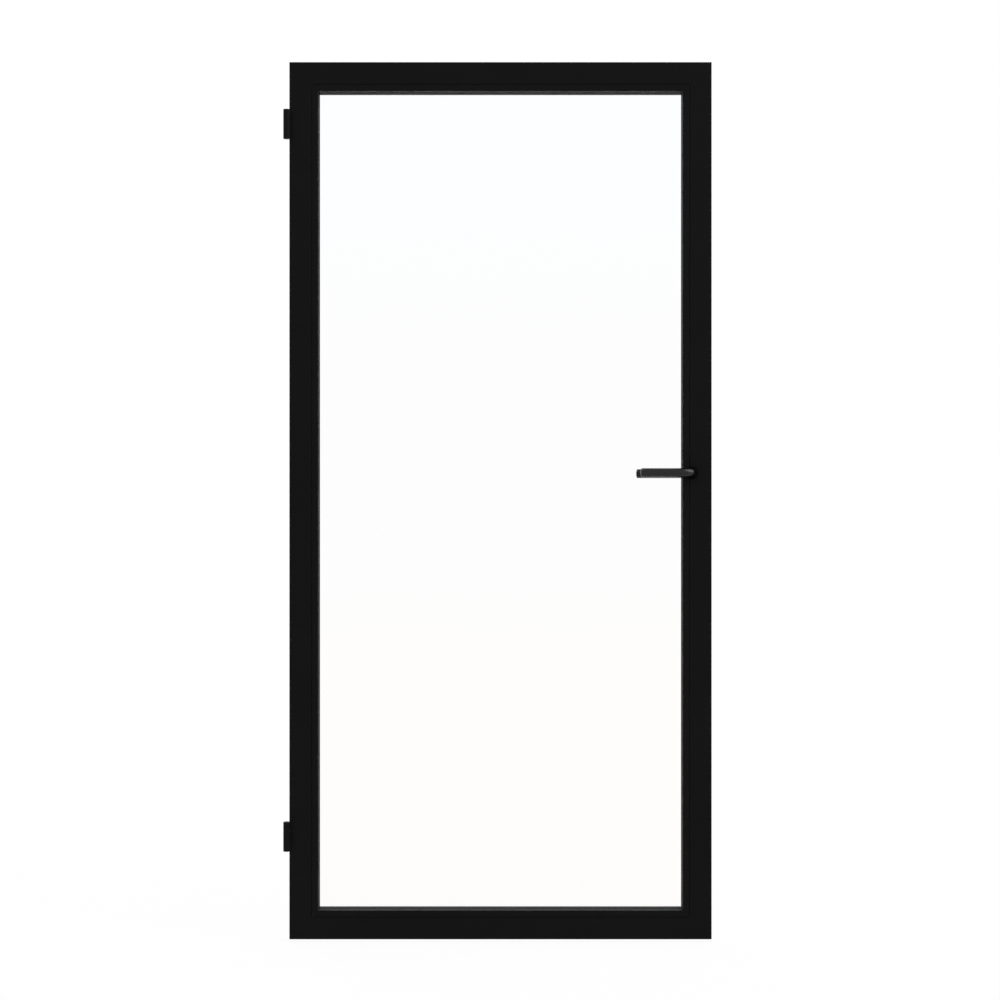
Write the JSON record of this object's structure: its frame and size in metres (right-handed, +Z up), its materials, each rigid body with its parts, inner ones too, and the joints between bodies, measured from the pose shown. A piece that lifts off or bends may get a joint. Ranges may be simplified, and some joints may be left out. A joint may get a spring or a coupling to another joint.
{
  "type": "glass door",
  "caption": "Hinged door leaf: slim black metal frame round a clear pane, with barrel hinges, a latch lock and a round lever handle on each face.",
  "frame": {"origin": "under the middle of the leaf, on the level of its bottom edge and in the middle of its thickness", "axes": "+Z up, -Y out of the front face, hinges on the -X edge and lock on the +X edge"},
  "size_m": [0.983, 0.152, 2.015],
  "materials": {
    "black_powder_coat": "matt black powder coat on aluminium",
    "mill_aluminium": "mill finish",
    "black_hardware": "satin black",
    "plain_steel": "zinc plated",
    "pale_plastic": "moulded",
    "clear_glass": "clear",
    "black_rubber": "matt"
  },
  "bodies": {
    "jamb_hinges": {"upper_hinge_jamb_plate": "black_hardware", "lower_hinge_jamb_plate": "black_hardware", "upper_hinge_pin": "plain_steel", "lower_hinge_pin": "plain_steel", "upper_hinge_washers": "pale_plastic", "lower_hinge_washers": "pale_plastic"},
    "leaf": {"hinge_stile": "black_powder_coat", "lock_stile": "black_powder_coat", "top_rail": "black_powder_coat", "bottom_rail": "black_powder_coat", "hinge_side_bead": "black_powder_coat", "lock_side_bead": "black_powder_coat", "top_bead": "black_powder_coat", "bottom_bead": "black_powder_coat", "top_hinge_side_cleat": "mill_aluminium", "top_lock_side_cleat": "mill_aluminium", "bottom_hinge_side_cleat": "mill_aluminium", "bottom_lock_side_cleat": "mill_aluminium", "upper_hinge_leaf_plate": "black_hardware", "lower_hinge_leaf_plate": "black_hardware", "upper_hinge_screws": "black_hardware", "lower_hinge_screws": "black_hardware", "forend": "black_hardware", "forend_screws": "black_hardware", "front_rose": "black_hardware", "rear_rose": "black_hardware", "upper_hinge_nut_plate": "plain_steel", "lower_hinge_nut_plate": "plain_steel", "lock_case": "plain_steel", "lock_cover": "plain_steel", "cover_screws": "plain_steel", "forend_nut_plates": "plain_steel", "follower_spring": "plain_steel", "latch_spring": "plain_steel", "setting_blocks": "pale_plastic", "location_blocks": "pale_plastic", "glass_pane": "clear_glass", "front_gasket": "black_rubber", "rear_gasket": "black_rubber"},
    "handle": {"front_lever": "black_hardware", "rear_lever": "black_hardware", "spindle": "plain_steel", "grub_screws": "plain_steel", "follower": "plain_steel"},
    "latch": {"latch_bolt": "plain_steel"}
  },
  "joints": [
    {"name": "leaf_swing", "type": "hinge", "parent": "jamb_hinges", "child": "leaf", "pos_m": [-0.49, -0.0295, 0], "axis": [0, 0, -1], "range_deg": [0, 170]},
    {"name": "lever_turn", "type": "hinge", "parent": "leaf", "child": "handle", "pos_m": [0.4394, 0, 1.071], "axis": [0, -1, 0], "range_deg": [0, 40], "stiffness_Nm_per_rad": 1.2, "springref_deg": -34.38, "deforming": ["follower_spring"]},
    {"name": "latch_slide", "type": "slide", "parent": "leaf", "child": "latch", "axis": [1, 0, 0], "range_m": [0, 0.011], "stiffness_N_per_m": 60, "springref_m": -0.004, "deforming": ["latch_spring"]}
  ]
}
